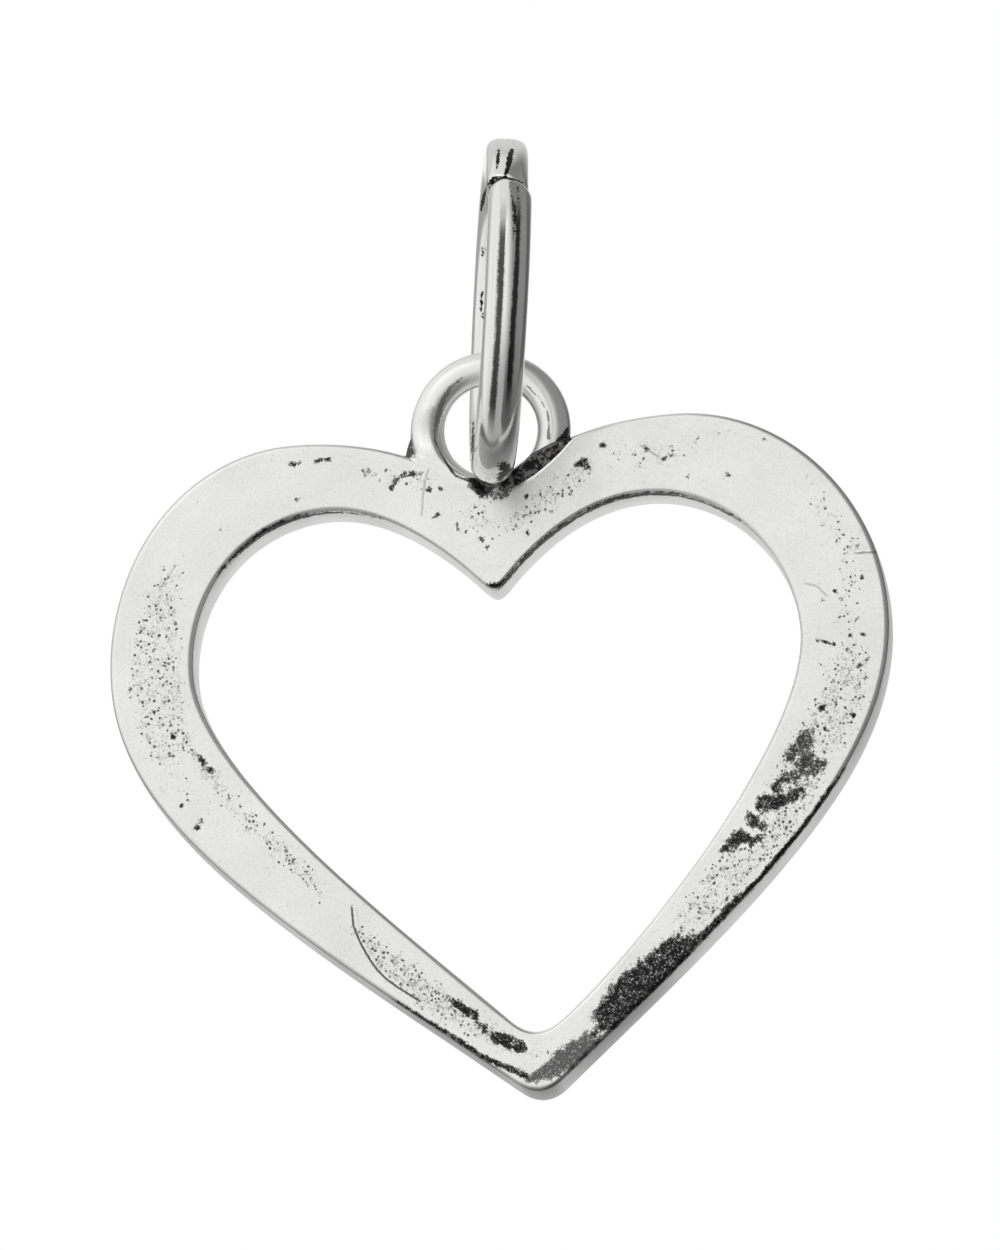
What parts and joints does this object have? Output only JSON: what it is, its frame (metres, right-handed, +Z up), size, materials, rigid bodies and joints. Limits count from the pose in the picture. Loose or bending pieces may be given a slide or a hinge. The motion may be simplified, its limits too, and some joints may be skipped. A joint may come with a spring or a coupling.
{
  "type": "heart charm",
  "caption": "Open heart charm in polished silver with a soldered wire eye in its cleft and a cut jump ring that swings through the eye, to hang from a chain or bracelet.",
  "frame": {"origin": "top of the eye's hole, where the heart bears on the ring or hook that it hangs from", "axes": "+Z up from the heart's tip to its eye, +X to the right of the heart's front, +Y out of its flat back"},
  "size_m": [0.0181, 0.0079, 0.022],
  "materials": {
    "cast_silver": "polished cast silver, dark oxide left in its pits and low spots",
    "wire_silver": "polished round silver wire",
    "solder": "dull oxidised silver solder"
  },
  "bodies": {
    "heart": {"heart_frame": "cast_silver", "eyelet": "wire_silver", "solder_fillet_left": "solder", "solder_fillet_right": "solder"},
    "ring": {"jump_ring": "wire_silver"}
  },
  "joints": [
    {"name": "ring_swing", "type": "hinge", "parent": "heart", "child": "ring", "pos_m": [0.0002, 0, 0.00038], "axis": [0.9825, 0.1288, -0.1346], "range_deg": [-141.5, 0]}
  ]
}
